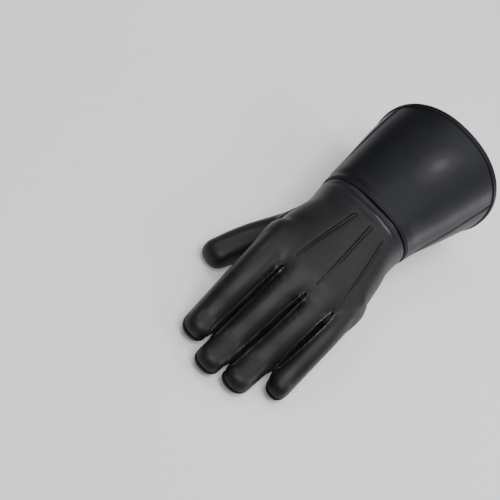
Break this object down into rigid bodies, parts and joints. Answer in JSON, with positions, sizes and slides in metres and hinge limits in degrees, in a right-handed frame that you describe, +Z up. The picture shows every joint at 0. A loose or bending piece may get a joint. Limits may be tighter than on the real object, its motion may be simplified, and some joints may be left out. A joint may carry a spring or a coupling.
{
  "type": "leather gauntlet glove",
  "caption": "Left-hand dress glove of smooth black leather with a wide flared gauntlet cuff, lying palm down on its fingertips, thumb and rim.",
  "frame": {"origin": "middle of the footprint, on the surface that the glove rests on", "axes": "+Z up from the surface, +Y out of the cuff's opening with the fingers pointing to -Y, +X to the little finger's side"},
  "size_m": [0.1212, 0.2746, 0.0789],
  "materials": {
    "hand_leather": "soft black dress leather, satin",
    "cuff_leather": "smooth firm black leather with a bluish sheen"
  },
  "bodies": {
    "root": {"hand_back": "hand_leather", "hand_palm": "hand_leather", "fourchette_index_middle": "hand_leather", "fourchette_middle_ring": "hand_leather", "fourchette_ring_little": "hand_leather", "thumb": "hand_leather", "cuff_back": "cuff_leather", "cuff_palm": "cuff_leather", "rim_binding": "cuff_leather"}
  },
  "joints": []
}
